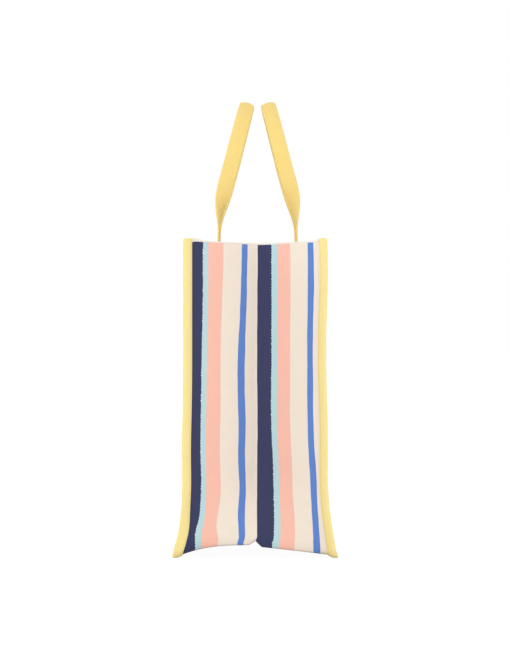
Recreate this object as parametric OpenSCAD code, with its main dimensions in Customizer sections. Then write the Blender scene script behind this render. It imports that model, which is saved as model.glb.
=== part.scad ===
// Striped canvas tote bag: two main panels, creased side gussets and a base, sewn edge to edge
// with the seams turned outward and bound in tape, and two webbing handles that fold over at the hem.
// X runs along the main panels, Y from the front panel (-Y) to the back panel (+Y), Z up.
// The origin is under the middle of the bag, on the surface that it stands on.

/* [Body] */
// Length of the bag between the bound corner seams
body_w = 348; // [280:1:420]
// Height of the top edge above the standing surface
body_h = 389; // [320:1:460]
// Flat width of a side gusset, and so of the base, between its seams
gusset_w = 184; // [166:1:210]
// Distance between the corner seams at the mouth, where the gusset is creased inward
mouth_d = 159; // [130:1:162]
// Height over which the corners splay out to the full width of the base
flare_h = 110; // [60:1:160]
// How far the main panels draw inward at the top, between the handles and their corners
pinch = 28; // [10:1:36]
// How far the middle of the mouth lies towards the back panel
mouth_shift = 2.3; // [0:0.1:5]
// Height of the arch in the middle of the base
base_rise = 14; // [6:1:24]
// Share of that arch that is left halfway along the bag
mid_rise = 0.85; // [0.3:0.05:1]
// Height of the small notch where the gusset's crease meets the base
notch_h = 5; // [0:0.5:8]
// Half width of that notch
notch_w = 10; // [6:1:16]
// How far the gusset's crease lies off the middle
crease_shift = 2.5; // [0:0.5:6]
// Share of the crease's depth that is left at the base
crease_keep = 0.15; // [0.05:0.05:0.4]
// Height over which the crease reaches its full depth
crease_fade = 110; // [60:1:160]
// Dip of the gusset's top edge in the middle
top_sag = 2; // [0:0.5:5]

/* [Cloth] */
// Thickness of the printed canvas
cloth_t = 1.2; // [0.8:0.1:1.4]
// Thickness of the undyed facing inside the mouth
facing_t = 1; // [0.6:0.1:1.2]
// Height of the facing
facing_h = 38; // [25:1:60]
// Distance of the facing's ends from the corner seams
facing_back = 9; // [8:0.5:14]
// Clearance between sewn layers
seam_gap = 0.3; // [0.2:0.05:0.4]

/* [Binding] */
// Width of the folded tape, from the seam to its outer edge
binding_w = 12; // [8:0.5:16]
// Thickness of the folded tape round the seam
binding_t = 3.4; // [3:0.1:4.2]
// Turn of the upright tape from straight out of the panel towards the gusset's face, in degrees
binding_turn = 40; // [25:1:55]
// How far the upright tape runs on above the top edge
binding_over = 4; // [1:0.5:8]

/* [Handles] */
// Width of the webbing
strap_w = 19; // [14:0.5:26]
// Thickness of the webbing
strap_t = 2.4; // [1.6:0.1:3]
// Distance between the two ends of one handle, middle to middle
handle_span = 150; // [120:1:190]
// Rise of the handle above the top edge
handle_rise = 179; // [150:1:230]
// Height of the rounded part of the handle
arch_h = 110; // [80:1:125]
// Height above the top edge at which the webbing starts to turn
twist_from = 15; // [5:1:20]
// Height over which it turns from flat on the hem to edge on
twist_h = 62; // [50:1:80]
// Distance between the tops of the two handles, which lean towards each other, middle to middle
handle_apart = 27.6; // [22:0.2:70]
// Height above the top edge where the lean sets in
lean_from = 43; // [30:1:60]
// Depth of the sewn end below the top edge
sewn_end = 36; // [25:1:60]

/* [Hidden] */

cream = "#F1E4D4";
undyed = "#F4EDDD";
yellow = "#FDE996";
webbing = "#FADC89";

corner_x = body_w / 2;
straight_x = (handle_span + strap_w) / 2;  // the mouth is straight as far as the handles' ends
seam_r = binding_t / 2;                 // radius of the tape's fold round the seam line
edge_back = seam_r + seam_gap;          // where a sheet's edge stops, short of its seam line
seam_z = seam_r;                        // the base seams lie at this height
half_t = cloth_t / 2;
facing_in = half_t + seam_gap;          // the facing's near face, inward of the canvas's middle
strap_in = facing_in + facing_t + seam_gap;       // the sewn end's near face
strap_mid = strap_in + strap_t / 2;
hem_mid = (facing_in + facing_t - half_t) / 2;    // middle of the hem that the handle folds over
crease_d = sqrt(pow(gusset_w / 2, 2) - pow(mouth_d / 2, 2));  // a flat gusset folds to this depth
crease_r = 3;                           // softness of the crease
hem_curve = 2.5;                        // power of the base's arch across the bag
pinch_curve = 1.3;                      // power of the pinch up the bag
lean_soft = 20;                         // height over which the lean eases in
leg_h = handle_rise - seam_gap - strap_t / 2 - arch_h;  // the straight part of a leg
lean_slope = (foot_y() - handle_apart / 2) / lean_height(leg_h + arch_h);
probe = 0.5;                            // step for taking a surface's slope
$side = 1;                              // 1 on the front of the bag, -1 on what is turned to the back

pinch_columns = 10;                     // columns between a handle and its corner seam
middle_columns = 4;                     // columns between the two ends of a handle
panel_rows = 12;
gusset_columns = 14;
gusset_rows = 14;
base_rows = 26;
facing_rows = 2;
binding_rings = 14;
arch_steps = 24;
leg_steps = 10;

function mix(a, b, t) = a + (b - a) * t;
function unit(v) = v / norm(v);
function ease(t) = let (s = min(1, max(0, t))) s * s * (3 - 2 * s);
function signed_power(t, p) = sign(t) * pow(abs(t), p);

// ---------- The bag's surfaces, as the middle of the canvas ----------

// Half the distance between the front and back corner seams at height z
function corner_y(z) = mix(mouth_d, gusset_w, pow(max(0, 1 - z / flare_h), 2)) / 2;

// 0 at the corner seams and 1 between the handles
function pinch_share(x) =
    let (s = (corner_x - abs(x)) / (corner_x - straight_x))
    (1 - cos(180 * min(1, max(0, s)))) / 2;

function panel_y(x, z) =
    let (draw = pinch + $side * mouth_shift)
    corner_y(z) - draw * pow(max(0, z) / body_h, pinch_curve) * pinch_share(x);

// A point of the front panel, at height z and at x along the bag
function panel_point(x, z) = [x, -panel_y(x, z), z];

// Height of the middle of the base; u is -1 and 1 at its long seams, s is -1 and 1 at its ends
function base_z(s, u) =
    let (arch = base_rise * mix(mid_rise, 1, s * s) * (1 - pow(abs(u), hem_curve)))
    let (notch = notch_h * pow(s, 8) * max(0, 1 - abs(u) * gusset_w / 2 / notch_w))
    seam_z + arch + notch;

// Distance from the crease, rounded off close to it
function soft_distance(d) = sqrt(d * d + crease_r * crease_r) - crease_r;

// 1 at the crease and 0 at the corner seams
function crease_share(y, z) =
    let (d = y - crease_shift)
    let (side = corner_y(z) - sign(d) * crease_shift)
    max(0, 1 - soft_distance(d) / soft_distance(side));

function crease_in(z) = crease_d * mix(crease_keep, 1, ease(z / crease_fade));

// A point of the right gusset, at y across it and at height z
function gusset_point(y, z) = [corner_x - crease_in(z) * crease_share(y, z), y, z];

function gusset_hem(u) = base_z(1, u) + half_t + seam_gap;
function gusset_top(u) = body_h - top_sag * (1 - u * u);
function gusset_y(u, z, back) = crease_shift * (1 - abs(u)) + u * (corner_y(z) - back);

// A point of the right gusset; u is -1 and 1 at its side edges, v is 0 at the hem and 1 at the top
function gusset_at(u, v, back) =
    let (z = mix(gusset_hem(u), gusset_top(u), v))
    gusset_point(gusset_y(u, z, back), z);

// A point of the base, whose ends follow the two gussets' hems
function base_point(s, u) =
    let (end = gusset_at(u * sign(s), 0, edge_back))
    let (middle_y = u * (corner_y(seam_z) - edge_back))
    [s * (end[0] + half_t), mix(middle_y, sign(s) * end[1], s * s), base_z(s, u)];

// Where the columns of a panel's and a gusset's grid lie; they close up where the cloth bends
function panel_columns(x1) =
    let (step = (corner_x - straight_x) / pinch_columns)
    let (bent = [for (k = [0:pinch_columns]) let (x = straight_x + k * step) if (x < x1 - 1) x])
    concat(
        [-x1],
        [for (k = [len(bent) - 1:-1:0]) -bent[k]],
        [for (k = [1:middle_columns - 1]) straight_x * (2 * k / middle_columns - 1)],
        bent,
        [x1]
    );

function gusset_u(c) = signed_power(2 * c / gusset_columns - 1, 1.5);

// Slopes of the two main surfaces, which face outward
function panel_normal(p) =
    let (along = panel_point(p[0] + probe, p[2]) - panel_point(p[0] - probe, p[2]))
    let (up = panel_point(p[0], p[2] + probe) - panel_point(p[0], p[2] - probe))
    unit(cross(along, up));

function gusset_normal(p) =
    let (along = gusset_point(p[1] + probe, p[2]) - gusset_point(p[1] - probe, p[2]))
    let (up = gusset_point(p[1], p[2] + probe) - gusset_point(p[1], p[2] - probe))
    unit(cross(along, up));

// ---------- Solids from grids of points ----------

// A closed sheet between two grids of the same size; outer is seen from outside with columns
// running to the right and rows running up
module sheet(outer, inner) {
    rows = len(outer);
    columns = len(outer[0]);
    count = rows * columns;
    function at(r, c) = r * columns + c;
    points = concat([for (row = outer) each row], [for (row = inner) each row]);
    faces = [
        for (r = [0:rows - 2])
            for (c = [0:columns - 2])
                each [
                    [at(r, c), at(r + 1, c), at(r + 1, c + 1)],
                    [at(r, c), at(r + 1, c + 1), at(r, c + 1)],
                    [count + at(r, c), count + at(r + 1, c + 1), count + at(r + 1, c)],
                    [count + at(r, c), count + at(r, c + 1), count + at(r + 1, c + 1)]
                ],
        for (c = [0:columns - 2])
            each concat(
                rim(at(0, c), at(0, c + 1), count),
                rim(at(rows - 1, c + 1), at(rows - 1, c), count)
            ),
        for (r = [0:rows - 2])
            each concat(
                rim(at(r + 1, 0), at(r, 0), count),
                rim(at(r, columns - 1), at(r + 1, columns - 1), count)
            )
    ];
    polyhedron(points = points, faces = faces, convexity = 6);
}

// The two triangles that close a sheet's rim between neighbours a and b; their inner points come
// count places later
function rim(a, b, count) = [[a, b, b + count], [a, b + count, a + count]];

// A closed solid through rings that have the same number of points
module loft(rings) {
    n = len(rings[0]);
    last = (len(rings) - 1) * n;
    faces = [
        [for (k = [0:n - 1]) k],
        [for (k = [n - 1:-1:0]) last + k],
        for (r = [0:len(rings) - 2])
            for (k = [0:n - 1])
                let (a = r * n + k, b = r * n + (k + 1) % n)
                each [[a, b + n, b], [a, a + n, b + n]]
    ];
    polyhedron(points = [for (ring = rings) each ring], faces = faces, convexity = 6);
}

// A layer of the front panel's stack, with columns at xs and from height z0 to z1, between two
// distances inward of the canvas's middle
module panel_layer(xs, z0, z1, near, far, rows) {
    grid = [for (r = [0:rows]) [for (x = xs) panel_point(x, mix(z0, z1, r / rows))]];
    sheet(
        [for (row = grid) [for (p = row) p - near * panel_normal(p)]],
        [for (row = grid) [for (p = row) p - far * panel_normal(p)]]
    );
}

// The same on the right gusset; v runs from the hem to the top edge
module gusset_layer(v0, back, near, far, rows) {
    grid = [
        for (r = [0:rows])
            [
                for (c = [0:gusset_columns])
                    gusset_at(gusset_u(c), mix(v0, 1, pow(r / rows, 1.3)), back)
            ]
    ];
    sheet(
        [for (row = grid) [for (p = row) p - near * gusset_normal(p)]],
        [for (row = grid) [for (p = row) p - far * gusset_normal(p)]]
    );
}

module to_back() {
    $side = -1;
    rotate([0, 0, 180]) children();
}

// ---------- Canvas ----------

module panel() {
    columns = panel_columns(corner_x - edge_back);
    panel_layer(columns, seam_z + edge_back, body_h, -half_t, half_t, panel_rows);
}

module gusset() {
    gusset_layer(0, edge_back, -half_t, half_t, gusset_rows);
}

module front_panel() { color(cream) panel(); }
module back_panel() { color(cream) to_back() panel(); }
module right_gusset() { color(cream) gusset(); }
module left_gusset() { color(cream) to_back() gusset(); }

module base_panel() {
    grid = [
        for (c = [gusset_columns:-1:0])
            [for (r = [0:base_rows]) base_point(signed_power(2 * r / base_rows - 1, 0.8), gusset_u(c))]
    ];
    color(cream) sheet(
        [for (row = grid) [for (p = row) p - [0, 0, half_t]]],
        [for (row = grid) [for (p = row) p + [0, 0, half_t]]]
    );
}

// ---------- Facings inside the mouth ----------

module panel_facing() {
    columns = panel_columns(corner_x - facing_back);
    panel_layer(columns, body_h - facing_h, body_h, facing_in, facing_in + facing_t, facing_rows);
}

module gusset_facing() {
    gusset_layer(1 - facing_h / body_h, facing_back, facing_in, facing_in + facing_t, facing_rows);
}

module front_facing() { color(undyed) panel_facing(); }
module back_facing() { color(undyed) to_back() panel_facing(); }
module right_facing() { color(undyed) gusset_facing(); }
module left_facing() { color(undyed) to_back() gusset_facing(); }

// ---------- Bindings ----------

// Outline of the folded tape: x runs out from the seam line, both ends are round
function tape_outline(size) =
    let (middle = (binding_w - binding_t) / 2)
    [
        for (side = [0, 1])
            for (k = [0:4])
                let (a = 90 + side * 180 + k * 45)
                let (x = seam_r * cos(a) + (side == 0 ? -middle : middle))
                [middle + x * size, seam_r * sin(a) * size]
    ];

// The upright tape on the front right corner, rounded at its top and bottom ends
module corner_binding() {
    top = body_h + binding_over;
    rounding = seam_r;
    ring_at = concat(
        [[0, 0.6], [0.3 * rounding, 0.85]],
        [for (k = [0:binding_rings]) [mix(rounding, top - rounding, pow(k / binding_rings, 1.6)), 1]],
        [[top - 0.3 * rounding, 0.85], [top, 0.6]]
    );
    rings = [
        for (ring = ring_at)
            [
                for (q = tape_outline(ring[1]))
                    let (out = [sin(binding_turn), -cos(binding_turn)])
                    [
                        corner_x + out[0] * q[0] - out[1] * q[1],
                        -corner_y(ring[0]) + out[1] * q[0] + out[0] * q[1],
                        ring[0]
                    ]
            ]
    ];
    loft(rings);
}

// The tape along the front base seam, which lies flat on the standing surface
module base_binding() {
    length = body_w - 2 * edge_back;
    reach = binding_w - binding_t;
    translate([-length / 2, -corner_y(seam_z), seam_z])
        rotate([90, 0, 90])
            linear_extrude(height = length)
                union() {
                    translate([-reach, -seam_r]) square([reach, binding_t]);
                    circle(r = seam_r, $fn = 32);
                    translate([-reach, 0]) circle(r = seam_r, $fn = 32);
                }
}

module front_right_binding() { color(yellow) corner_binding(); }
module front_left_binding() { color(yellow) mirror([1, 0, 0]) corner_binding(); }
module back_right_binding() { color(yellow) mirror([0, 1, 0]) corner_binding(); }
module back_left_binding() { color(yellow) to_back() corner_binding(); }
module front_base_binding() { color(yellow) base_binding(); }
module back_base_binding() { color(yellow) to_back() base_binding(); }

// ---------- Handles ----------

// The two sewn ends of the front handle, flat against the inside of the facing
module handle_ends() {
    for (side = [-1, 1]) {
        columns = [for (k = [-2:2]) side * handle_span / 2 + k * strap_w / 4];
        panel_layer(columns, body_h - sewn_end, body_h, strap_in, strap_in + strap_t, facing_rows);
    }
}

// Height over which the handle leans inward, up to height h above its foot
function past_bend(h) = (norm([h - lean_from, lean_soft]) + h - lean_from) / 2;
function lean_height(h) = past_bend(h) - past_bend(0);

// Distance of the two handles' feet from the middle of the mouth
function foot_y() = mouth_d / 2 - pinch - strap_mid;

// The middle line of the front handle: up one leg, over the arch and down the other leg
function handle_point(x, h) =
    [x, $side * mouth_shift - foot_y() + lean_slope * lean_height(h), body_h + seam_gap + h];

function handle_line() =
    concat(
        [for (k = [0:leg_steps - 1]) handle_point(handle_span / 2, leg_h * k / leg_steps)],
        [
            for (k = [0:arch_steps])
                let (a = 180 * k / arch_steps)
                handle_point(handle_span / 2 * cos(a), leg_h + arch_h * sin(a))
        ],
        [for (k = [leg_steps - 1:-1:0]) handle_point(-handle_span / 2, leg_h * k / leg_steps)]
    );

// Outline of the webbing, with its edges eased
function webbing_outline() =
    let (w = strap_w / 2, t = strap_t / 2, e = strap_t / 4)
    [[-w, -t + e], [-w + e, -t], [w - e, -t], [w, -t + e], [w, t - e], [w - e, t], [-w + e, t], [-w, t - e]];

// The free loop of the front handle; its width lies along the hem at the legs' feet and turns
// across the bag over twist_h
module handle_loop() {
    line = handle_line();
    last = len(line) - 1;
    rings = [
        for (k = [0:last])
            let (step = line[min(last, k + 1)] - line[max(0, k - 1)])
            let (foot = k == 0 || k == last)
            let (along = foot ? [0, 0, k == 0 ? 1 : -1] : unit(step))
            let (lean = lean_slope * ease((line[k][2] - body_h) / (lean_from + lean_soft)))
            let (plane = unit(cross(along, cross([0, 1, -lean], along))))
            let (flat = cross(along, plane))
            let (turn = 90 * ease((line[k][2] - body_h - twist_from) / twist_h))
            let (wide = cos(turn) * flat + sin(turn) * plane)
            let (thick = cross(along, wide))
            [for (q = webbing_outline()) line[k] + q[0] * wide + q[1] * thick]
    ];
    loft(rings);
}

module front_handle_ends() { color(webbing) handle_ends(); }
module back_handle_ends() { color(webbing) to_back() handle_ends(); }
module front_handle() { color(webbing) handle_loop(); }
module back_handle() { color(webbing) to_back() handle_loop(); }

front_panel();
back_panel();
right_gusset();
left_gusset();
base_panel();
front_facing();
back_facing();
right_facing();
left_facing();
front_right_binding();
front_left_binding();
back_right_binding();
back_left_binding();
front_base_binding();
back_base_binding();
front_handle_ends();
back_handle_ends();
front_handle();
back_handle();
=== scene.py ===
"""Striped canvas tote bag: the cloth, bound seams, webbing handles and stitching
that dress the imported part, with the studio and the camera."""

import math
from collections import namedtuple

import bmesh
import bpy
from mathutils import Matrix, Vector, noise


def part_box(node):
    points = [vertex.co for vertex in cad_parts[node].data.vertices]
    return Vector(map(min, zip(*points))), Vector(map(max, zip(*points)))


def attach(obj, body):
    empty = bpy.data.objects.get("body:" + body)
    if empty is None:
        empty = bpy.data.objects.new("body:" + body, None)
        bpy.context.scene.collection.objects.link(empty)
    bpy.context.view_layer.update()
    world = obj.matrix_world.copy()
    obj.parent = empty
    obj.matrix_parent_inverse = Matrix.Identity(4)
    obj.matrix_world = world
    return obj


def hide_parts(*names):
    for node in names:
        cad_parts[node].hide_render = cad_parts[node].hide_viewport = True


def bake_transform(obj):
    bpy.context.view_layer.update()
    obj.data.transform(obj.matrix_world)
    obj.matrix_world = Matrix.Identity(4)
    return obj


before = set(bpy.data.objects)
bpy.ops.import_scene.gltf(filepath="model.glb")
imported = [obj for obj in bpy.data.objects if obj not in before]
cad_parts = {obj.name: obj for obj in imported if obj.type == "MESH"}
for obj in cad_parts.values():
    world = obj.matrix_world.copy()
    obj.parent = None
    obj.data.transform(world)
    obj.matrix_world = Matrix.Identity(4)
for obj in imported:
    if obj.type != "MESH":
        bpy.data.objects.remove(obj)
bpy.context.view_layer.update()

MM = 0.001

# ---------------------------------------------------------------- sizes, in metres
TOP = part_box("right_gusset")[1].z  # top edge of the canvas
TAPE_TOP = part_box("front_right_binding")[1].z  # cut ends of the corner tapes
CORNER_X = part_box("front_base_binding")[1].x + 2 * MM  # corner seams, along the bag
MOUTH_Y = 79.5 * MM  # half the depth between the corner seams, from the flare up
FOOT_Y = 92 * MM  # half the depth at the base
FLARE_H = 110 * MM  # height over which the depth grows to the base
PINCH = 28 * MM  # how far the handles' feet draw the mouth together
MOUTH_SHIFT = 2.3 * MM  # how far the middle of the mouth lies towards the back
STRAIGHT_X = 84.5 * MM  # half the mouth's straight middle part
CREASE_D = math.sqrt(FOOT_Y**2 - MOUTH_Y**2)  # depth to which a gusset folds at the mouth
CREASE_KEEP, CREASE_FADE = 0.15, 110 * MM  # what is left of it at the base, and the height it takes
CREASE_Y = 2.5 * MM  # the crease lies this far off the middle
CREASE_R = 3 * MM  # softness of the crease
TOP_SAG = 2 * MM  # dip of a gusset's upper edge between its seams
NIP_W, NIP_FRONT, NIP_BACK = 5 * MM, 2.6 * MM, 1.2 * MM  # that edge is nipped down at its ends
SEAM_Z = 5 * MM  # height of the base seams
SEAM_R = 8 * MM  # rounding of the seam at the lower corners
ARCH_FRONT, ARCH_BACK = 16.6 * MM, 14.8 * MM  # gusset hem beside the crease, either side
NOTCH, NOTCH_W = 5.2 * MM, 9 * MM  # rise of the hem at the crease, and its half width
MID_RISE = 0.85  # share of the hem's arch that the base keeps halfway along the bag
CLOTH_T = 1.2 * MM  # canvas
FACING_T = 1.0 * MM  # canvas of the hem bands inside the mouth
FACING_H = 38 * MM
FACING_IN = 1.4 * MM  # middle of the facing, inside the middle of the canvas
TAPE_UP = 1.3 * MM  # the tapes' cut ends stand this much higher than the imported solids
BASE_TURN = 15  # degrees below level at which the tape leaves a base seam
BINDING_R, BINDING_EDGE_R = 3 * MM, 1.3 * MM  # rounding of a tape's cut ends, flat and edge on
STITCH = 3.2 * MM  # from one stitch to the next, on the tapes and the hem
THREAD = 0.5 * MM
STRAP_W, STRAP_T = 19 * MM, 2.4 * MM  # webbing
STRAP_IN = 3.4 * MM  # middle of the webbing, inside the middle of the canvas
STRAP_X = 75 * MM  # middle of a handle's foot, from the middle of the panel
STRAP_CROWN = 2.6 * MM  # how far the arch's edges curl in from its middle
SEWN_END = 36 * MM  # webbing sewn down below the top edge
LEG_H, ARCH_H = 67.5 * MM, 111.7 * MM  # straight part of a handle, and the arch on it
TWIST_FROM, TWIST_H = 15 * MM, 70 * MM  # where a leg starts to turn, and over what height
HANDLE_APART = 26 * MM  # between the middles of the two handles at their tops
LEAN_FROM, LEAN_SOFT = 43 * MM, 20 * MM  # height and softness of the bend towards the middle

PANEL_SLACK, PANEL_RIPPLE = 3.2 * MM, 0.9 * MM  # broad and small waves in a main panel
HANDLE_PULL, PULL_W = 2.0 * MM, 17 * MM  # groove that a handle's foot draws down the panel
GATHER = 0.34 * MM  # small gathers beside a seam
GUSSET_FULL, GUSSET_SLACK = 1.3 * MM, 0.9 * MM  # fullness and waves of each half of a gusset


def mix(a, b, share):
    return a + (b - a) * share


def ease(share):
    share = min(1, max(0, share))
    return share * share * (3 - 2 * share)


def soft(d):
    """Distance with a rounded foot."""
    return math.sqrt(d * d + CREASE_R**2) - CREASE_R


def wander(a, b, seed):
    """A slow, smooth rise and fall between -1 and 1."""
    return noise.noise(Vector((a, b, seed)))


def half_turn(p):
    return Vector((-p[0], -p[1], p[2]))


def same(p):
    return Vector(p)


def hump(d, middle, spread):
    """A smooth bump of height 1."""
    return math.exp(-(((d - middle) / spread) ** 2))


def front_wave(z):
    """How far the front's upright seams wander outwards at height z: a swell at 130 mm, a
    waist just above the foot, and a millimetre inwards elsewhere."""
    wave = 1.5 * hump(z, 130 * MM, 55 * MM) - 2.2 * hump(z, 33 * MM, 22 * MM) - 1.0
    return wave * MM * ease(z / (14 * MM))


def back_wave(z):
    """The same at the back: an even wave from 150 mm up, which runs straight below that."""
    wave = 0.1 + math.cos(2 * math.pi * (max(z, 150 * MM) - 355 * MM) / (205 * MM))
    return wave * MM * ease(z / (18 * MM))


# a main side of the bag: the turn that brings the front there, the seed of its folds, how far
# its panel is drawn in at the top, its seams' wave, the angle in degrees at which the tape
# leaves an upright seam, high up and at the foot, and how far its handle swings inwards
Side = namedtuple("Side", "name turn seed draw wave high_turn low_turn swing")
FRONT = Side("front", same, 2.0, PINCH + MOUTH_SHIFT, front_wave, 36, 6, 0.9 * MM)
BACK = Side("back", half_turn, 33.0, PINCH - MOUTH_SHIFT - 2 * MM, back_wave, 45, 42, 0.9 * MM)
GUSSET_SEED = 21.0


# ---------------------------------------------------------------- where the cloth lies
def corner_y(z):
    """Half the distance across a gusset between its corner seams, at height z."""
    return mix(MOUTH_Y, FOOT_Y, max(0, 1 - max(0, z) / FLARE_H) ** 2)


def seam_y(z, side):
    """Distance of a main side's corner seams from the bag's middle plane."""
    return corner_y(z) + side.wave(max(0, z))


def tuck(d, r=SEAM_R, deep=SEAM_R):
    """How far the cloth has rounded under at distance d above its lower edge."""
    return deep * (1 - math.sqrt(1 - (1 - d / r) ** 2)) if 0 <= d < r else 0


def pucker(along, away, seed):
    """Small gathers that a seam draws into the cloth beside it."""
    return GATHER * wander(along / (5.2 * MM), away / (30 * MM), seed) * math.exp(-away / (8 * MM))


def panel_out(x, z, seed):
    """How far slack and pull move a main panel outwards."""
    inner, low, high = CORNER_X - abs(x), z - SEAM_Z, TOP - z
    # the seams hold the cloth still beside them, and the facing all but holds it at the top
    free = ease(inner / (45 * MM)) * ease(low / (45 * MM)) * mix(0.12, 1, ease(high / (75 * MM)))
    slack = PANEL_SLACK * free * wander(x / (95 * MM), z / (150 * MM), seed)
    ripple = PANEL_RIPPLE * free * wander(x / (34 * MM), z / (60 * MM), seed + 5)
    # the grooves below a handle's feet spread apart on their way down, and fade at both ends
    pull = 0
    for foot in (-STRAP_X, STRAP_X):
        pull -= hump(x, foot * (1 + 0.35 * high / TOP), PULL_W)
    pull *= HANDLE_PULL * ease((high - 25 * MM) / (50 * MM)) * ease((250 * MM - high) / (200 * MM))
    gathers = pucker(z, inner, seed + 9) + pucker(x, low, seed + 11)
    return slack + ripple + pull + gathers


def panel_y(x, z, side):
    """Distance of a main panel from the bag's middle plane."""
    share = min(1, max(0, (CORNER_X - abs(x)) / (CORNER_X - STRAIGHT_X)))
    share = (1 - math.cos(math.pi * share)) / 2
    lean = side.draw * (max(0, z) / TOP) ** 1.3 * share
    return seam_y(z, side) - lean + panel_out(x, z, side.seed)


def rounded(x, z):
    """Moves a point of the panel's rectangle so that its lower corners are rounded."""
    a = (abs(x) - (CORNER_X - SEAM_R)) / SEAM_R
    b = (SEAM_Z + SEAM_R - z) / SEAM_R
    if a <= 0 or b <= 0:
        return x, z
    a, b = a * math.sqrt(1 - b * b / 2), b * math.sqrt(1 - a * a / 2)
    return math.copysign(CORNER_X - SEAM_R + a * SEAM_R, x), SEAM_Z + SEAM_R - b * SEAM_R


def crease_in(z):
    """Depth of a gusset's fold at height z."""
    return CREASE_D * mix(CREASE_KEEP, 1, ease(z / CREASE_FADE))


def hem(u):
    """Height of the gusset's lower edge; u runs from -1 to 1 across it."""
    near = max(0, 1 - abs(u) * FOOT_Y / NOTCH_W)
    if u < 0:
        return mix(ARCH_FRONT, SEAM_Z, abs(u) ** 3.5) + NOTCH * near**1.3
    return mix(ARCH_BACK, SEAM_Z, u**1.15) + (NOTCH + ARCH_FRONT - ARCH_BACK) * near


def gusset_top(u):
    """Height of the gusset's upper edge: lower at the crease, and nipped down at both ends."""
    nip = max(0, (abs(u) * MOUTH_Y - (MOUTH_Y - NIP_W)) / NIP_W) ** 2
    high = 1.0 * MM * max(0, -u) ** 2 + 0.8 * MM * ease(-4 * u if u < 0 else 2 * u)
    return TOP - TOP_SAG * (1 - u * u) + high - nip * (NIP_FRONT if u < 0 else NIP_BACK)


def gusset_out(y, z, u):
    """How far fullness and slack move a gusset outwards: most halfway to the crease."""
    away = (1 - abs(u)) * MOUTH_Y
    full = GUSSET_FULL * math.sin(math.pi * min(1, abs(u))) * ease(z / (90 * MM))
    waves = wander(y / (40 * MM), z / (90 * MM), GUSSET_SEED)
    slack = GUSSET_SLACK * math.sin(math.pi * abs(u)) * waves
    return full + slack + pucker(z, away, GUSSET_SEED + 3) * 0.8


def gusset_point(u, z, ends, rise=None):
    """A point of the right gusset, or of the left one half turned, between the two sides in
    ends: u runs from -1 at the first side's seam to 1 at the second's. Its height above the
    hem is rise, or else it is worked out."""
    edge = seam_y(z, ends[u > 0])
    # the crease starts in the middle of the hem, and reaches its own line 27 mm up
    crease = CREASE_Y * ease((z - 18 * MM) / (9 * MM))
    crease += 0.6 * MM * (hump(z, 165 * MM, 30 * MM) + hump(z, 345 * MM, 75 * MM))
    y = crease * (1 - abs(u)) + u * edge
    share = 1 - soft(y - crease) / soft(edge - math.copysign(crease, u))
    # the cloth rounds under to the base over this height, sharply beside the crease
    low = z - hem(u) if rise is None else rise
    high = mix(mix(6 * MM, 18 * MM, ease(abs(u) * 4)), SEAM_R, abs(u) ** 8)
    x = CORNER_X - crease_in(z) * max(0, share)
    x -= tuck(low, high, mix(4.5 * MM, SEAM_R, abs(u) ** 3))
    return Vector((x + gusset_out(y, z, u), y, z))


def base_point(s, u):
    """A point of the base: s from -1 to 1 along the bag, u from -1 to 1 across it."""
    turn = half_turn if s < 0 else same
    across = -u if s < 0 else u
    ends = (BACK, FRONT) if s < 0 else (FRONT, BACK)
    end = turn(gusset_point(across, hem(across), ends))
    y = mix(u * corner_y(SEAM_Z), end.y, s * s)
    middle = SEAM_Z + ((hem(u) + hem(-u)) / 2 - SEAM_Z) * MID_RISE
    z = mix(middle, end.z, s * s)
    sag = 0.8 * MM * wander(s * 3, u * 2, 4) * (1 - s * s) * (1 - u * u)
    return Vector((abs(end.x) * s, y, z + sag))


# ---------------------------------------------------------------- materials
def srgb(code):
    """A colour written as six hex digits, as linear light."""
    parts = [int(code[i : i + 2], 16) / 255 for i in (1, 3, 5)]
    return [c / 12.92 if c <= 0.04045 else ((c + 0.055) / 1.055) ** 2.4 for c in parts] + [1]


def add(tree, kind, *values, out=0, **settings):
    """Adds a node with its settings and links, and gives back one of its outputs. A value is a
    number, a colour or another node's output, in the order of the inputs, or else one
    dictionary holds them by input."""
    node = tree.nodes.new("ShaderNode" + kind)
    for name, value in settings.items():
        setattr(node, name, value)
    inputs = values[0] if values and isinstance(values[0], dict) else dict(enumerate(values))
    for name, value in inputs.items():
        if isinstance(value, bpy.types.NodeSocket):
            tree.links.new(value, node.inputs[name])
        else:
            node.inputs[name].default_value = value
    return node.outputs[out]


def new_material(name, roughness, sheen, sheen_colour):
    """A cotton surface, with its node tree and shader."""
    made = bpy.data.materials.new(name)
    made.use_nodes = True
    tree = made.node_tree
    shader = tree.nodes["Principled BSDF"]
    shader.inputs["Roughness"].default_value = roughness
    shader.inputs["IOR"].default_value = 1.5
    shader.inputs["Specular IOR Level"].default_value = 0.25
    shader.inputs["Sheen Weight"].default_value = sheen
    shader.inputs["Sheen Roughness"].default_value = 0.55
    shader.inputs["Sheen Tint"].default_value = srgb(sheen_colour)
    return made, tree, shader


def flat_coordinates(tree):
    """The place on the flat cloth, and its metres across and along."""
    uv = add(tree, "UVMap", uv_map="flat")
    parts = add(tree, "SeparateXYZ", uv).node.outputs
    return uv, parts[0], parts[1]


def ridges(tree, along, pitch):
    """Rises and falls between 0 and 1, once every pitch metres."""
    angle = add(tree, "Math", along, 2 * math.pi / pitch, operation="MULTIPLY")
    wave = add(tree, "Math", angle, operation="SINE")
    return add(tree, "Math", wave, 0.5, 0.5, operation="MULTIPLY_ADD")


def patches(tree, where, across, along, detail=3.0):
    """Random unevenness between 0 and 1, in so many patches to the metre across and along."""
    place = add(tree, "VectorMath", where, (across, along, 1), operation="MULTIPLY")
    grain = {"Vector": place, "Scale": 1.0, "Detail": detail, "Roughness": 0.6}
    return add(tree, "TexNoise", grain)


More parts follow.
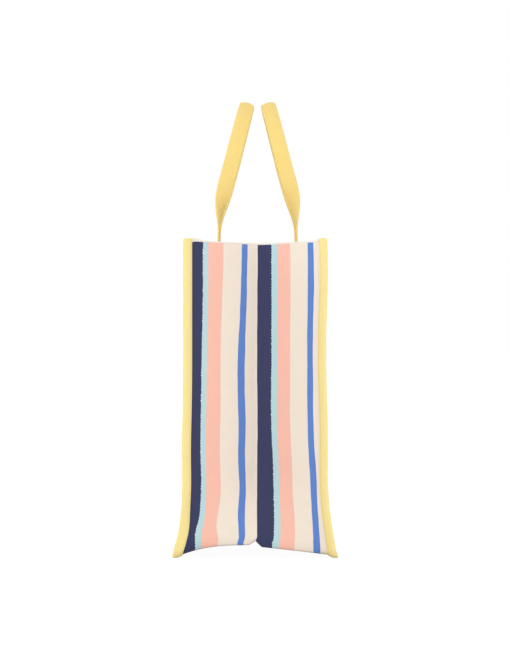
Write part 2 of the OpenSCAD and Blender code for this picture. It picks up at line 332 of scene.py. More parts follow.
def plain_weave(tree, uv, across, along, pitch):
    """Height of a plain weave: threads pass over and under each other in turn."""
    threads = []
    for way in (across, along):
        angle = add(tree, "Math", way, math.pi / pitch, operation="MULTIPLY")
        threads.append(add(tree, "Math", angle, operation="SINE"))
    chequer = add(tree, "Math", *threads, operation="MULTIPLY")
    height = add(tree, "Math", chequer, 0.5, 0.5, operation="MULTIPLY_ADD")
    slubs = patches(tree, uv, 60, 900, 2.0)  # thicker lengths of thread, 17 by 1.1 mm
    return add(tree, "Math", slubs, 0.5, height, operation="MULTIPLY_ADD")


def finish_cloth(tree, shader, colour, height, uv, depth, mottle=0.05):
    """Joins a colour and a height to the shader, with slight unevenness in the dye and painted shade
    in the hollows between threads.
    """
    cloud = patches(tree, uv, 55, 55, 4.0)  # clouds about 18 mm wide
    value = add(tree, "Math", cloud, mottle, 1 - mottle / 2, operation="MULTIPLY_ADD")
    # painted shade: the colour is up to 5% darker where the threads lie low, in the hollows of the
    # weave
    painted_pit_shade = add(tree, "Math", height, 0.05, 0.95, operation="MULTIPLY_ADD")
    dye_and_pit_shade = add(tree, "Math", value, painted_pit_shade, operation="MULTIPLY")
    grey = add(tree, "CombineXYZ", dye_and_pit_shade, dye_and_pit_shade, dye_and_pit_shade)
    shaded = {0: 1.0, 6: colour, 7: grey}
    tinted = add(tree, "Mix", shaded, out=2, data_type="RGBA", blend_type="MULTIPLY")
    tree.links.new(tinted, shader.inputs["Base Color"])
    relief = {"Strength": 1.0, "Distance": depth, "Height": height}
    tree.links.new(add(tree, "Bump", relief), shader.inputs["Normal"])


# stripes of the print, from the crease towards the back: width in metres, colour
STRIPES = [
    (20.9 * MM, "#383B5F"),
    (7.9 * MM, "#BADCE1"),
    (18.8 * MM, "#FBC2AF"),
    (24.5 * MM, "#F3E6D6"),
    (8.4 * MM, "#6087D1"),
    (13.5 * MM, "#F3E6D6"),
]
REPEAT = sum(width for width, colour in STRIPES)
BRUSH_SWING = 1.6 * MM  # how far the brush strays to and fro along a stripe's edge
DOT_PITCH, DOT_R = 3.5 * MM, 0.7 * MM
WEAVE = 0.9 * MM  # canvas thread pitch, drawn coarser than the real 0.6 mm so that it shows
TWILL = 0.9 * MM  # from one slanting rib of the tape to the next
CORD = 1.5 * MM  # from one lengthwise cord of the webbing to the next
PICK = 0.9 * MM  # from one cross thread of the webbing to the next
RELIEF, WEBBING_RELIEF = 0.10 * MM, 0.16 * MM  # height of the threads


def stripe_colours(tree, uv, across, along):
    """Printed stripes with hand-painted edges, and small bare dots along the navy's far edge."""
    waver = patches(tree, uv, 120, 28, 2.0)  # strokes about 8 mm apart and 36 mm long
    swing = add(tree, "Math", waver, 0.5, operation="SUBTRACT")
    moved = add(tree, "Math", swing, BRUSH_SWING, across, operation="MULTIPLY_ADD")
    repeats = add(tree, "Math", moved, REPEAT, operation="DIVIDE")
    place = add(tree, "Math", repeats, operation="FRACT")
    printed = add(tree, "ValToRGB", place)
    ramp = printed.node.color_ramp
    ramp.interpolation = "CONSTANT"
    while len(ramp.elements) < len(STRIPES):
        ramp.elements.new(0.5)
    reached = 0
    for stop, (width, colour) in zip(ramp.elements, STRIPES):
        stop.position = reached / REPEAT
        stop.color = srgb(colour)
        reached += width
    # dots in a row: one once every pitch, its middle on the navy's edge
    pitches = add(tree, "Math", along, DOT_PITCH, operation="DIVIDE")
    step = add(tree, "Math", pitches, operation="FRACT")
    past_middle = add(tree, "Math", step, 0.5, operation="SUBTRACT")
    up = add(tree, "Math", past_middle, DOT_PITCH / DOT_R, operation="MULTIPLY")
    past_edge = add(tree, "Math", place, STRIPES[0][0] / REPEAT, operation="SUBTRACT")
    beside = add(tree, "Math", past_edge, REPEAT / DOT_R, operation="MULTIPLY")
    far = add(tree, "VectorMath", add(tree, "CombineXYZ", beside, up), out="Value", operation="LENGTH")
    # their size is uneven from one to the next, and may come down to nothing
    uneven = patches(tree, uv, 8, 240, 1.0)
    size = add(tree, "Math", uneven, 3.2, -0.7, operation="MULTIPLY_ADD")
    dot = add(tree, "Math", far, size, operation="LESS_THAN")
    return add(tree, "Mix", {0: dot, 6: printed, 7: srgb("#E6EEEE")}, out=2, data_type="RGBA")


def make_materials():
    made = {}
    # cotton canvas, plain-woven and printed with pigment: a dry, matt face with a fine chequer
    # of threads, and flat colours whose edges are a little unsteady
    made["print"], tree, shader = new_material("printed_cotton_canvas", 0.88, 0.12, "#FFFFFF")
    uv, across, along = flat_coordinates(tree)
    weave = plain_weave(tree, uv, across, along, WEAVE)
    finish_cloth(tree, shader, stripe_colours(tree, uv, across, along), weave, uv, RELIEF)

    # the reverse of the same canvas: off-white, with the print showing faintly through
    made["reverse"], tree, shader = new_material("canvas_reverse_side", 0.9, 0.12, "#FFFFFF")
    uv, across, along = flat_coordinates(tree)
    weave = plain_weave(tree, uv, across, along, WEAVE)
    through = {0: 0.16, 6: srgb("#F2EADB"), 7: stripe_colours(tree, uv, across, along)}
    ghost = add(tree, "Mix", through, out=2, data_type="RGBA")
    finish_cloth(tree, shader, ghost, weave, uv, RELIEF)

    # undyed cotton canvas, woven a little finer: warm white, with darker flecks of seed 1.4 mm wide
    made["undyed"], tree, shader = new_material("undyed_cotton_canvas", 0.9, 0.12, "#FFFFFF")
    uv, across, along = flat_coordinates(tree)
    weave = plain_weave(tree, uv, across, along, WEAVE * 0.9)
    flecks = add(tree, "Math", patches(tree, uv, 700, 700, 1.0), 0.72, operation="GREATER_THAN")
    flecked = {0: flecks, 6: srgb("#F7F0E4"), 7: srgb("#E2D3B6")}
    cloth_colour = add(tree, "Mix", flecked, out=2, data_type="RGBA")
    finish_cloth(tree, shader, cloth_colour, weave, uv, RELIEF)

    # cotton tape, woven in twill and pressed over the seam: pale yellow, with slanting ribs
    made["tape"], tree, shader = new_material("cotton_twill_tape", 0.85, 0.15, "#FFF6D8")
    uv, across, along = flat_coordinates(tree)
    slant = add(tree, "Math", along, 0.8, across, operation="MULTIPLY_ADD")
    dyed = {0: patches(tree, uv, 200, 60), 6: srgb("#FFEB98"), 7: srgb("#FEEAA2")}
    tape_colour = add(tree, "Mix", dyed, out=2, data_type="RGBA")
    finish_cloth(tree, shader, tape_colour, ridges(tree, slant, TWILL), uv, RELIEF, 0.06)

    # cotton webbing, woven thick and narrow: a deeper yellow, with lengthwise cords that catch
    # the light and fine cross threads that bend over them
    made["webbing"], tree, shader = new_material("woven_cotton_webbing", 0.82, 0.15, "#FFF2CC")
    uv, across, along = flat_coordinates(tree)
    cords = ridges(tree, across, CORD)
    bent = add(tree, "Math", cords, PICK / 2, along, operation="MULTIPLY_ADD")
    picks = ridges(tree, bent, PICK)
    cord_share = add(tree, "Math", cords, 0.6, operation="MULTIPLY")
    height = add(tree, "Math", picks, 0.4, cord_share, operation="MULTIPLY_ADD")
    dyed = {0: patches(tree, uv, 500, 40), 6: srgb("#FBDA7E"), 7: srgb("#FCE08F")}
    webbing_colour = add(tree, "Mix", dyed, out=2, data_type="RGBA")
    finish_cloth(tree, shader, webbing_colour, height, uv, WEBBING_RELIEF, 0.06)

    # cotton thread, spun and twisted from two plies: slanting bands, slightly smoother than cloth
    for key, colour in (("yellow_thread", "#F1D67F"), ("pale_thread", "#F6EEDD")):
        made[key], tree, shader = new_material(f"spun_cotton_{key}", 0.7, 0.1, "#FFFFFF")
        place = add(tree, "TexCoord", out="Object")
        bands = {"Vector": place, "Scale": 800.0, "Distortion": 1.0}
        ply = add(tree, "TexWave", bands, out=1, bands_direction="DIAGONAL")
        share = add(tree, "Math", ply, 0.25, operation="MULTIPLY")
        twisted = {0: share, 6: srgb(colour), 7: srgb("#B99B57")}
        tree.links.new(
            add(tree, "Mix", twisted, out=2, data_type="RGBA"), shader.inputs["Base Color"]
        )
        relief = add(tree, "Bump", {"Distance": THREAD / 10, "Height": ply})
        tree.links.new(relief, shader.inputs["Normal"])
    return made


# ---------------------------------------------------------------- mesh helpers
def grid(bm, across, along, place, flat):
    """Adds a grid whose corners are put in place by place(i, j) and whose flat
    coordinates are flat(i, j), with i from 0 to across and j from 0 to along."""
    uv = bm.loops.layers.uv.verify()
    made = bmesh.ops.create_grid(bm, x_segments=across, y_segments=along, size=1)["verts"]
    spot = {}
    for v in made:
        spot[v] = (round((v.co.x + 1) / 2 * across), round((v.co.y + 1) / 2 * along))
    for face in {f for v in made for f in v.link_faces}:
        face.smooth = True
        for loop in face.loops:
            loop[uv].uv = flat(*spot[loop.vert])
    for v, (i, j) in spot.items():
        v.co = place(i, j)
    return made


def finished(bm, name, materials):
    """Turns a bmesh into an object of the scene."""
    bm.normal_update()
    mesh = bpy.data.meshes.new(name)
    bm.to_mesh(mesh)
    bm.free()
    if mesh.uv_layers:
        mesh.uv_layers[0].name = "flat"
    piece = bpy.data.objects.new(name, mesh)
    bpy.context.scene.collection.objects.link(piece)
    for material in materials:
        mesh.materials.append(material)
    return piece


def spread(count, gather):
    """count + 1 numbers from -1 to 1, closer together towards both ends."""
    steps = [2 * i / count - 1 for i in range(count + 1)]
    return [mix(t, math.sin(t * math.pi / 2), gather) for t in steps]


def cloth(name, us, vs, place, flat, outward, thick, materials, rim=1):
    """A sheet of cloth of real thickness through the points place(u, v). Its second material
    is for the inner side, and rim says which of them its cut edges show."""
    bm = bmesh.new()
    grid(
        bm,
        len(us) - 1,
        len(vs) - 1,
        lambda i, j: place(us[i], vs[j]),
        lambda i, j: flat(us[i], vs[j]),
    )
    bm.normal_update()
    if sum((f.normal * f.calc_area() for f in bm.faces), Vector()).dot(outward) < 0:
        bmesh.ops.reverse_faces(bm, faces=bm.faces)
    piece = finished(bm, name, materials)
    solid = piece.modifiers.new("thickness", "SOLIDIFY")
    solid.thickness = thick
    solid.offset = 0
    solid.material_offset = 1 if len(materials) > 1 else 0
    solid.material_offset_rim = rim if len(materials) > 1 else 0
    return piece


def closed_curve(points, times):
    """Smooths a closed outline by a Catmull-Rom spline, with so many points for each one."""
    out = []
    count = len(points)
    for i in range(count):
        a, b, c, d = (Vector(points[(i + k) % count]) for k in (-1, 0, 1, 2))
        for k in range(times):
            t = k / times
            out.append(
                0.5
                * (
                    2 * b
                    + (c - a) * t
                    + (2 * a - 5 * b + 4 * c - d) * t * t
                    + (3 * b - a - 3 * c + d) * t**3
                )
            )
    return out


def way_round(outline):
    """How far round an outline in millimetres each point lies, and the whole way, in metres."""
    reached = [0]
    for j in range(len(outline)):
        reached.append(reached[-1] + (outline[(j + 1) % len(outline)] - outline[j]).length * MM)
    return reached


def sweep(name, rings, flats, material):
    """A tube through rings of points, closed at both ends."""
    bm = bmesh.new()
    count = len(rings[0])
    grid(bm, len(rings) - 1, count, lambda i, j: rings[i][j % count], flats)
    bmesh.ops.remove_doubles(bm, verts=bm.verts, dist=1e-7)
    open_edges = [e for e in bm.edges if e.is_boundary]
    bmesh.ops.holes_fill(bm, edges=open_edges, sides=0)
    bmesh.ops.recalc_face_normals(bm, faces=bm.faces)
    for face in bm.faces:
        face.smooth = True
    return finished(bm, name, [material])


def stitches(name, seams, thick, material, turn=same):
    """Short lengths of thread, each between two points: a small ball is copied for each, and
    every copy is drawn out between its points."""
    bm = bmesh.new()
    bmesh.ops.create_uvsphere(bm, u_segments=6, v_segments=5, radius=1)
    shape = [v.co.copy() for v in bm.verts]
    while len(bm.verts) < len(shape) * len(seams):
        bmesh.ops.duplicate(bm, geom=bm.verts[:] + bm.edges[:] + bm.faces[:])
    bm.verts.ensure_lookup_table()
    spare = bm.verts[len(shape) * len(seams) :]
    bmesh.ops.delete(bm, geom=spare, context="VERTS")
    bm.verts.ensure_lookup_table()
    for k, ends in enumerate(seams):
        a, b = (turn(p) for p in ends)
        facing = (b - a).to_track_quat("Z", "Y").to_matrix()
        half = Vector((thick / 2, thick / 2, (b - a).length / 2))
        for i, corner in enumerate(shape):
            bm.verts[k * len(shape) + i].co = (a + b) / 2 + facing @ (corner * half)
    for face in bm.faces:
        face.smooth = True
    bm.loops.layers.uv.verify()
    return finished(bm, name, [material])


# ---------------------------------------------------------------- cloth pieces
PRINT_SHIFT = 31 * MM  # where the print falls on the main panels
HAND_SWAY = 0.8 * MM  # how far a stripe strays sideways as a whole
FRONT_HALF = math.hypot(CREASE_D, MOUTH_Y + CREASE_Y)  # flat width of a gusset before its crease
BACK_HALF = math.hypot(CREASE_D, MOUTH_Y - CREASE_Y)  # and behind it


def hand_edge(across, along, seed):
    """How far the painted stripes wander sideways at a place on the flat cloth."""
    return HAND_SWAY * wander(across / (24 * MM), along / (85 * MM), seed)


def make_panel(side, paint):
    """A main panel, with the print upright on its outer side."""

    def place(u, v):
        x, z = rounded(u * CORNER_X, mix(SEAM_Z, TOP, (v + 1) / 2))
        return side.turn(Vector((x, -panel_y(x, z, side), z)))

    def flat(u, v):
        x, z = u * CORNER_X, (v + 1) / 2 * (TOP - SEAM_Z)
        return x + PRINT_SHIFT + 2 * hand_edge(x, z, side.seed), z

    piece = cloth(
        f"{side.name}_panel_cloth",
        spread(150, 0.45),
        spread(150, 0.45),
        place,
        flat,
        side.turn((0, -1, 0)),
        CLOTH_T,
        [paint["print"], paint["reverse"]],
    )
    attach(piece, "bag")
    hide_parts(f"{side.name}_panel")
    return piece


def print_before(far, high):
    """Where the print falls on a gusset's first half, far mm from the crease and high mm up.
    Its stripes swing away from the crease."""
    wide = mix(0.6, 4.0, ease((far - 24) / 46)) + 0.6 * hump(far, 12, 6)
    wide += 0.7 * math.cos(2 * math.pi * (high - 300) / 340) * (1 - ease((far - 22) / 20))
    wide *= ease(far / 8)
    # a long bow from the top down to the foot, with a short wave on it low down
    bow = 5.6 * ease((TOP / MM - high) / 160) * ease((high + 25) / 130)
    bow -= 2.0 * math.cos(2 * math.pi * (high - 92) / 104) * hump(high, 66, 50)
    bow *= ease(far / 30) * mix(1, 0.4, ease((far - 30) / 40))
    # the pale stripe is narrower halfway up, and the outer stripes dip towards the crease
    # once, just above the foot
    narrow = (1.3 + 1.7 * hump(high, 140, 60)) * hump(far, 69, 6)
    level = mix(46, 31, ease((far - 45) / 25))
    dip = mix(2.8, 5.2, ease((far - 45) / 20)) * hump(high, level, 16) * ease((far - 30) / 20)
    return -far + wide + bow + narrow + dip


def print_behind(far, high):
    """The same on its second half, where the stripes swing a little towards the seam low down
    and sway once or twice higher up."""
    low = 3.0 * (1 - ease((high - 95) / 70)) * ease(high / 55)
    low -= 1.2 * (1 - ease((high - 20) / 70)) * ease((far - 50) / 20)
    sway = 1.0 * hump(high, 250, 38) - 0.5 * hump(high, 180, 25)
    return far - (low + sway) * ease(far * MM / BACK_HALF * 8)


def gusset_flat(u, z):
    """Place on the flat cloth, measured on the print, of a gusset's point."""
    if u < 0:
        across = print_before(-u * FRONT_HALF / MM, z / MM)
    else:
        across = print_behind(u * BACK_HALF / MM, z / MM)
    return across * MM + hand_edge(u * FOOT_Y, z, GUSSET_SEED), z


def gusset_columns(count):
    """Places from -1 to 1 across a gusset, closer together at its crease and its seams."""
    half = [i / count for i in range(count + 1)]
    half = [mix(t, 1 - math.cos(math.pi / 2 * t), 0.5) for t in half]
    half = [mix(t, ease(t), 0.35) for t in half]
    return [-t for t in reversed(half[1:])] + half


def make_gusset(name, turn, ends, paint):
    def height(u, v):
        return mix(hem(u), gusset_top(u), (v + 1) / 2)

    piece = cloth(
        f"{name}_gusset_cloth",
        gusset_columns(44),
        spread(170, 0.5),
        lambda u, v: turn(gusset_point(u, height(u, v), ends)),
        lambda u, v: gusset_flat(u, height(u, v)),
        turn((1, 0, 0)),
        CLOTH_T,
        [paint["print"], paint["reverse"]],
    )
    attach(piece, "bag")
    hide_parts(f"{name}_gusset")
    return piece


def make_base(paint):
    """The base: the print's stripes run across the bag, and its cut edges show the print."""
    piece = cloth(
        "base_cloth",
        spread(130, 0.5),
        spread(70, 0.5),
        base_point,
        lambda s, u: (u * FRONT_HALF, s * CORNER_X),
        Vector((0, 0, -1)),
        CLOTH_T,
        [paint["print"], paint["reverse"]],
        rim=0,
    )
    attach(piece, "bag")
    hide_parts("base_panel")
    return piece


def make_panel_facing(side, paint):
    """The hem band inside a main panel, which stands a little above the canvas."""
    half = CORNER_X - 2.5 * MM
    proud = 1.0 * MM

    def place(u, v):
        x, z = u * half, mix(TOP - FACING_H, TOP + proud, (v + 1) / 2)
        wave = 0.25 * MM * wander(x / (30 * MM), 3, side.seed) * (v + 1) / 2
        return side.turn(Vector((x, -(panel_y(x, min(z, TOP), side) - FACING_IN), z + wave)))

    piece = cloth(
        f"{side.name}_facing_band",
        spread(120, 0.4),
        spread(16, 0.3),
        place,
        lambda u, v: (u * half, (v + 1) / 2 * FACING_H),
        side.turn((0, 1, 0)),
        FACING_T,
        [paint["undyed"]],
    )
    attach(piece, "bag")
    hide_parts(f"{side.name}_facing")
    return piece


def facing_top(u):
    """Upper edge of a gusset's facing, which shows as a sliver above it, most at its ends."""
    reach = 17 * MM if u < 0 else 12 * MM  # how far in from each end it is wider
    sliver = 2.6 * MM * max(0, 1 - (1 - abs(u)) * MOUTH_Y / reach)
    return TOP - TOP_SAG * (1 - u * u) + 1.4 * MM * max(0, -u) ** 2 + 2.5 * MM + sliver


def make_gusset_facing(name, turn, ends, paint):
    kept = 1 - 1.5 * MM / MOUTH_Y  # it stops short of the seams

    def place(u, v):
        u *= kept
        z = mix(TOP - FACING_H, facing_top(u), (v + 1) / 2)
        p = gusset_point(u, min(z, TOP), ends, rise=1)
        return turn(Vector((p.x - FACING_IN * 1.15, p.y, z)))

    piece = cloth(
        f"{name}_facing_band",
        spread(80, 0.0),
        spread(16, 0.3),
        place,
        lambda u, v: (u * FOOT_Y, (v + 1) / 2 * FACING_H),
        turn((-1, 0, 0)),
        FACING_T,
        [paint["undyed"]],
    )
    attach(piece, "bag")
    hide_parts(f"{name}_facing")
    return piece


# ---------------------------------------------------------------- bound seams
# half the outline of the folded tape in millimetres: outwards from the seam, and sideways. It
# clasps the seam, is drawn in along the stitching, swells, and narrows to its fold.
TAPE_HALF = [
    (-0.1, 0.9),
    (-0.4, 1.25),
    (-0.25, 1.65),
    (0.1, 1.85),
    (0.5, 1.75),
    (1.05, 1.5),
    (1.7, 1.9),
    (2.8, 2.3),
    (5.0, 2.42),
    (7.6, 2.3),
    (9.8, 1.95),
    (11.1, 1.35),
    (11.75, 0.55),
]
TAPE_W = 12.0  # how far out the fold lies, in millimetres too
GROOVE = (1.05, 1.5)  # bottom of the stitched groove, in the same terms
LIP = 2 * MM  # the part nearer to the seam than this is held by the stitching


def seam_path(side):
    """Points of a main panel's bound seam with its outward direction in the panel's
    plane and the tape's angle, from the upper right end round the base."""
    out = []
    z = top = TAPE_TOP + TAPE_UP
    while z > SEAM_Z + SEAM_R:
        turn = mix(side.low_turn, side.high_turn, ease((z - 10 * MM) / (60 * MM)))
        out.append((Vector((CORNER_X, -seam_y(z, side), z)), Vector((1, 0, 0)), turn))
        z -= 0.4 * MM if z > top - BINDING_R else 1.1 * MM
    turns = 18
    for k in range(turns + 1):
        a = k / turns * math.pi / 2
        middle = Vector((CORNER_X - SEAM_R, 0, SEAM_Z + SEAM_R))
        away = Vector((math.cos(a), 0, -math.sin(a)))
        p = middle + away * SEAM_R
        p.y = -seam_y(p.z, side)
        out.append((p, away, mix(side.low_turn, BASE_TURN, ease(k / turns))))
    steps = 150
    for k in range(1, steps + 1):
        x = (CORNER_X - SEAM_R) * (1 - k / steps)
        out.append((Vector((x, -seam_y(SEAM_Z, side), SEAM_Z)), Vector((0, 0, -1)), BASE_TURN))
    flip = Vector((-1, 1, 1))
    return out + [(p * flip, away * flip, turn) for p, away, turn in reversed(out[:-1])]


def tape_frames(side):
    """Each seam point with the tape's outward and sideways directions and the way along."""
    path = seam_path(side)
    frames, travelled = [], 0
    for i, (p, away, turn) in enumerate(path):
        ahead = path[min(i + 1, len(path) - 1)][0] - path[max(i - 1, 0)][0]
        ahead.normalize()
        angle = math.radians(turn)
        out = away * math.sin(angle) + Vector((0, -1, 0)) * math.cos(angle)
        out = (out - ahead * out.dot(ahead)).normalized()
        across = out.cross(ahead).normalized()
        if i:
            travelled += (p - path[i - 1][0]).length
        frames.append((p, out, across, travelled))
    return frames


def tape_ring(frame_here, whole, outline, seed):
    """The tape's outline where it crosses one frame, out of the whole way along it."""
    p, out, across, way = frame_here
    end = min(way, whole - way)
    # the cut ends are rounded, seen flat and seen edge on
    short = BINDING_R - math.sqrt(max(0, BINDING_R**2 - max(0, BINDING_R - end) ** 2))
    shortened = 1 - short / (TAPE_W * MM - LIP)
    thin = math.sqrt(max(0.02, 1 - max(0, BINDING_EDGE_R - end) ** 2 / BINDING_EDGE_R**2))
    # the fold leans to and fro, and its stuffing of seam edges is uneven
    lean = 0.5 * MM * wander(way / (38 * MM), 0, seed) * ease(end / (40 * MM))
    puff = 1 + 0.10 * wander(way / (13 * MM), 1, seed)
    edge = 0.25 * MM * wander(way / (9 * MM), 2, seed)
    dip = 0.13 * MM * math.cos(2 * math.pi * way / STITCH)
    ring = []
    for q in outline:
        e, n = q.x * MM, q.y * MM
        if e > LIP:
            e = LIP + (e - LIP) * shortened
            n *= puff
            n += lean * (e / (10 * MM)) ** 2
            e += edge
        if 0.2 * MM < e < LIP:
            n += math.copysign(dip, n)
        ring.append(p + out * e + across * n * thin)
    return ring


def make_tape(side, paint):
    outline = [(0.3, 0)] + TAPE_HALF + [(TAPE_W, 0)] + [(e, -n) for e, n in reversed(TAPE_HALF)]
    outline = closed_curve([(e, n, 0) for e, n in outline], 2)
    frames = tape_frames(side)
    whole = frames[-1][3]
    rings = [[side.turn(p) for p in tape_ring(f, whole, outline, side.seed)] for f in frames]
    lengths = [f[3] for f in frames]
    around = way_round(outline)
    piece = sweep(
        f"{side.name}_binding_tape",
        rings,
        lambda i, j: (around[j], lengths[i]),
        paint["tape"],
    )
    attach(piece, "bag")
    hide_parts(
        *(f"{side.name}_{part}_binding" for part in ("right", "left", "base")),
    )
    return piece


def make_tape_stitches(side, paint):
    """One row of stitches in the groove of each face: three quarters thread, one quarter gap."""
    frames = tape_frames(side)
    e, n = (v * MM for v in GROOVE)
    proud = 0.12 * MM
    spots, reached = [], 3 * MM
    for (p, out, across, way), (p2, out2, across2, way2) in zip(frames, frames[1:]):
        while way <= reached < way2:
            t = (reached - way) / (way2 - way)
            spots.append(
                (p.lerp(p2, t), out.lerp(out2, t).normalized(), across.lerp(across2, t).normalized())
            )
            reached += STITCH / 4
    seams = []
    for k in range(0, len(spots) - 3, 4):
        for face in (1, -1):
            a, b = (
                q + out * e + across * face * (n + proud)
                for q, out, across in (spots[k], spots[k + 3])
            )
            seams.append((a, b))
    piece = stitches(
        f"{side.name}_binding_stitches", seams, THREAD, paint["yellow_thread"], side.turn
    )
    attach(piece, "bag")
    return piece


# ---------------------------------------------------------------- handles
def past_bend(h):
    """How far height h is past the bend where a handle starts to lean, softened."""
    return (math.hypot(h - LEAN_FROM, LEAN_SOFT) + h - LEAN_FROM) / 2


FOOT_IN = MOUTH_Y - PINCH - STRAP_IN  # the handles' feet, from the middle of the mouth
LEAN = math.atan((FOOT_IN - HANDLE_APART / 2) / (past_bend(LEG_H + ARCH_H) - past_bend(0)))


def leaning(x, h, side):
    """A point of a handle's middle at height h above its foot: past the bend it leans in,
    and swings in a little further."""
    inward = math.tan(LEAN) * (past_bend(h) - past_bend(0))
    inward += side.swing * ease((h - 55 * MM) / (50 * MM))
    return Vector((x, side.draw - PINCH - FOOT_IN + inward, TOP + 0.3 * MM + h))


def strap_frames(side):
    """Points along a handle's middle, from the sewn end on the right over the arch to the
    other, with the direction of its width, the way ahead and the distance travelled."""
    spots = []
    steps = 26
    for k in range(steps + 1):
        z = TOP - SEWN_END + (SEWN_END - 1 * MM) * k / steps
        spots.append(Vector((STRAP_X, -(panel_y(STRAP_X, z, side) - STRAP_IN), z)))
    h = 1.2 * MM
    while h < LEG_H:
        spots.append(leaning(STRAP_X, h, side))
        h += 2.2 * MM
    turns = 60
    for k in range(turns + 1):
        a = k / turns * math.pi / 2
        spots.append(leaning(STRAP_X * math.cos(a), LEG_H + ARCH_H * math.sin(a), side))
    flip = Vector((-1, 1, 1))
    spots += [p * flip for p in reversed(spots[:-1])]
    frames, travelled = [], 0
    for i, p in enumerate(spots):
        along = (spots[min(i + 1, len(spots) - 1)] - spots[max(i - 1, 0)]).normalized()
        turned = math.radians(90) * ease((p.z - TOP - TWIST_FROM) / TWIST_H)
        tilt = LEAN * ease((p.z - TOP) / (60 * MM))
        plane = Vector((0, math.cos(tilt), -math.sin(tilt)))
        plane = (plane - along * plane.dot(along)).normalized()
        wide = along.cross(plane) * math.cos(turned) + plane * math.sin(turned)
        if i:
            travelled += (p - spots[i - 1]).length
        frames.append((p, wide.normalized(), along, travelled))
    return frames


# half the outline of the webbing in millimetres, across its width and its thickness: a flat
# face between two selvedges, which are thicker and rounded
WEBBING_HALF = [
    (-9.5, 0.0),
    (-9.35, 0.75),
    (-8.8, 1.2),
    (-8.0, 1.3),
    (-7.2, 1.12),
    (-4.5, 1.2),
    (-1.5, 1.2),
    (1.5, 1.2),
    (4.5, 1.2),
    (7.2, 1.12),
    (8.0, 1.3),
    (8.8, 1.2),
    (9.35, 0.75),
]


def make_handle(side, paint):
    frames = strap_frames(side)
    whole = frames[-1][3]
    other_half = [(-w, -t) for w, t in WEBBING_HALF]
    outline = closed_curve([(w, t, 0) for w, t in WEBBING_HALF + other_half], 2)
    rings = []
    for p, wide, along, way in frames:
        thick = along.cross(wide).normalized()
        end = min(way, whole - way)
        # the cut ends are rounded, the edges waver, and the arch is crowned across its width
        close = math.sqrt(max(0.03, 1 - max(0, 1 - end / (1.0 * MM)) ** 2))
        edge = 1 + 0.012 * wander(way / (16 * MM), 5, side.seed)
        arch = ease((p.z - TOP - LEG_H) / ARCH_H)
        ring = []
        for q in outline:
            w = q.x * MM
            crown = STRAP_CROWN * ((w / (STRAP_W / 2)) ** 2 - 0.5)
            n = q.y * MM * close + arch * crown
            ring.append(side.turn(p + wide * w * edge + thick * n))
        rings.append(ring)
    lengths = [f[3] for f in frames]
    around = way_round(outline)
    piece = sweep(
        f"{side.name}_handle_webbing",
        rings,
        lambda i, j: (around[j], lengths[i]),
        paint["webbing"],
    )
    side.turn((0, side.draw - MOUTH_Y, TOP - 4 * MM))
    side.turn((0, side.draw - MOUTH_Y, TOP + 10 * MM))
    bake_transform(piece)
    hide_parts(f"{side.name}_handle", f"{side.name}_handle_ends")
    return piece


def make_handle_stitches(side, paint):
    """A box crossed by two diagonals at each foot, on the webbing and on the canvas."""
    pitch, length = 3.0 * MM, 2.3 * MM
    half_w, low, high = 6.6 * MM, TOP - SEWN_END + 5 * MM, TOP - 8 * MM
    corners = [(-half_w, low), (half_w, low), (half_w, high), (-half_w, high)]
    lines = [(corners[i], corners[(i + 1) % 4]) for i in range(4)]
    lines += [(corners[0], corners[2]), (corners[1], corners[3])]
    seams = []
    for foot in (-STRAP_X, STRAP_X):
        for inside in (True, False):
            depth = STRAP_IN + STRAP_T / 2 + 0.1 * MM if inside else -CLOTH_T / 2 - 0.1 * MM
            for (xa, za), (xb, zb) in lines:
                run = math.hypot(xb - xa, zb - za)
                count = int(run / pitch)
                for k in range(count):
                    ends = []
                    for t in (k * pitch, k * pitch + length):
                        x, z = foot + mix(xa, xb, t / run), mix(za, zb, t / run)
                        # the webbing lies flat, and the canvas follows its own folds
                        y = panel_y(foot if inside else x, z, side) - depth
                        ends.append(Vector((x, -y, z)))
                    seams.append(ends)
    piece = stitches(
        f"{side.name}_handle_stitches", seams, THREAD, paint["yellow_thread"], side.turn
    )
    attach(piece, "bag")
    return piece


def make_hem_stitches(side, paint):
    """One row of stitches along the mouth, through the panel and its facing."""
    length, z = 2.5 * MM, TOP - 4 * MM
    seams = []
    for depth in (-CLOTH_T / 2 - 0.05 * MM, FACING_IN + FACING_T / 2 + 0.05 * MM):
        x = -CORNER_X + 4 * MM
        while x < CORNER_X - 6 * MM:
            under_strap = depth > 0 and abs(abs(x) - STRAP_X) < STRAP_W / 2 + 1 * MM
            if not under_strap:
                ends = (Vector((t, -(panel_y(t, z, side) - depth), z)) for t in (x, x + length))
                seams.append(list(ends))
            x += STITCH
    piece = stitches(
        f"{side.name}_hem_stitches", seams, 0.9 * THREAD, paint["pale_thread"], side.turn
    )
    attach(piece, "bag")
    return piece


# ---------------------------------------------------------------- studio
AMBIENT = 0.72  # light from all round, where 1 alone would show a colour as it is written
FLOOR_GLOW, FLOOR_GLOW_SHARE = 1.055, 0.92  # keeps the floor near white and its shadows faint
LAMP_W = 2.2  # metres across
LAMPS = (  # name, place in metres, power in watts
    ("key_softbox", (3.0, -1.0, 1.7), 27),
    ("front_softbox", (-0.6, -3.2, 1.6), 24),
    ("back_softbox", (2.2, 2.7, 1.7), 16),
    ("rear_softbox", (-2.6, 1.8, 1.8), 15),
)
EYE_H, EYE_FAR = 279.6 * MM, 5.0  # the camera's height, and its distance from the gusset
LENS, SENSOR = 220.7, 36  # in millimetres


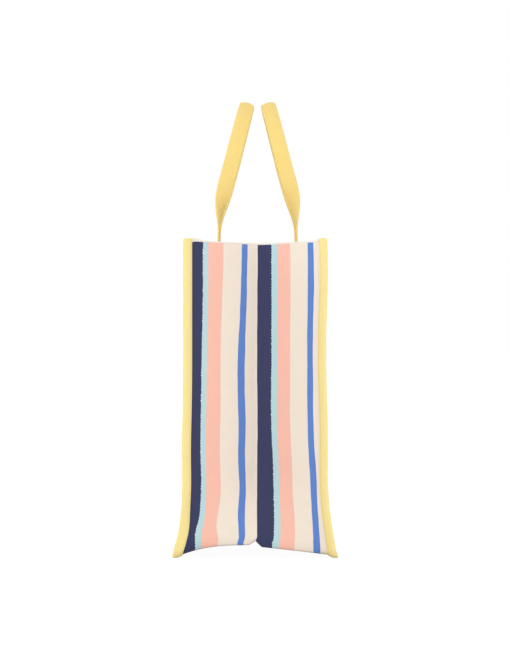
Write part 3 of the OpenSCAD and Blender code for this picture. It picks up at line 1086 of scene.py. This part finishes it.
def make_world():
    """Even light from all round, and a white background wherever it is seen."""
    world = bpy.data.worlds.new("white_studio")
    bpy.context.scene.world = world
    world.use_nodes = True
    tree = world.node_tree
    back = tree.nodes["Background"]
    back.inputs[0].default_value = srgb("#FFFFFF")
    rays = add(tree, "LightPath").node.outputs
    seen = add(tree, "Math", rays["Is Camera Ray"], rays["Is Glossy Ray"], operation="MAXIMUM")
    seen = add(tree, "Math", seen, rays["Is Transmission Ray"], operation="MAXIMUM")
    strength = add(tree, "Math", seen, 1 - AMBIENT, AMBIENT, operation="MULTIPLY_ADD")
    tree.links.new(strength, back.inputs[1])


def make_floor():
    # matt white paper, rolled out as a backdrop: no texture to see, only a soft shadow
    surface = bpy.data.materials.new("matt_white_floor")
    surface.use_nodes = True
    tree = surface.node_tree
    shader = tree.nodes["Principled BSDF"]
    shader.inputs["Roughness"].default_value = 0.9
    grain = patches(tree, add(tree, "TexCoord", out="Object"), 40, 40)
    paper = {0: grain, 6: srgb("#F4F4F4"), 7: srgb("#F7F7F7")}
    tree.links.new(
        add(tree, "Mix", paper, out=2, data_type="RGBA"), shader.inputs["Base Color"]
    )
    glow = add(tree, "Emission", srgb("#FFFFFF"), FLOOR_GLOW)
    seen = add(tree, "LightPath", out="Is Camera Ray")
    share = add(tree, "Math", seen, FLOOR_GLOW_SHARE, operation="MULTIPLY")
    both = add(tree, "MixShader", share, shader.outputs[0], glow)
    tree.links.new(both, tree.nodes["Material Output"].inputs[0])

    bm = bmesh.new()
    bmesh.ops.create_grid(bm, x_segments=2, y_segments=2, size=40)
    floor = finished(bm, "studio_floor", [surface])


def make_lamps():
    """Large soft lamps, all turned to the middle of the bag."""
    for name, place, power in LAMPS:
        lamp = bpy.data.lights.new(name, "AREA")
        lamp.shape = "DISK"
        lamp.size = LAMP_W
        lamp.energy = power
        holder = bpy.data.objects.new(name, lamp)
        holder.location = place
        aim = Vector((0, 0, 0.25)) - Vector(place)
        holder.rotation_euler = aim.to_track_quat("-Z", "Y").to_euler()
        bpy.context.scene.collection.objects.link(holder)


def make_camera():
    """Level, near the middle of the bag's height, straight in front of a gusset."""
    lens = bpy.data.cameras.new("camera")
    lens.lens = LENS
    lens.sensor_width = SENSOR
    camera = bpy.data.objects.new("camera", lens)
    aim = Vector((CORNER_X, 0, EYE_H))
    camera.location = aim + Vector((EYE_FAR, 0, 0))
    camera.rotation_euler = (aim - camera.location).to_track_quat("-Z", "Y").to_euler()
    bpy.context.scene.collection.objects.link(camera)
    bpy.context.scene.camera = camera


# ---------------------------------------------------------------- the bag
bpy.context.scene.view_settings.view_transform = "Standard"
paint = make_materials()
make_camera()
make_world()
make_floor()
make_lamps()

GUSSETS = (("right", same, (FRONT, BACK)), ("left", half_turn, (BACK, FRONT)))
for side in (FRONT, BACK):
    make_panel(side, paint)
    make_panel_facing(side, paint)
    make_tape(side, paint)
    make_tape_stitches(side, paint)
    make_handle(side, paint)
    make_handle_stitches(side, paint)
    make_hem_stitches(side, paint)
for name, turn, ends in GUSSETS:
    make_gusset(name, turn, ends, paint)
    make_gusset_facing(name, turn, ends, paint)
make_base(paint)
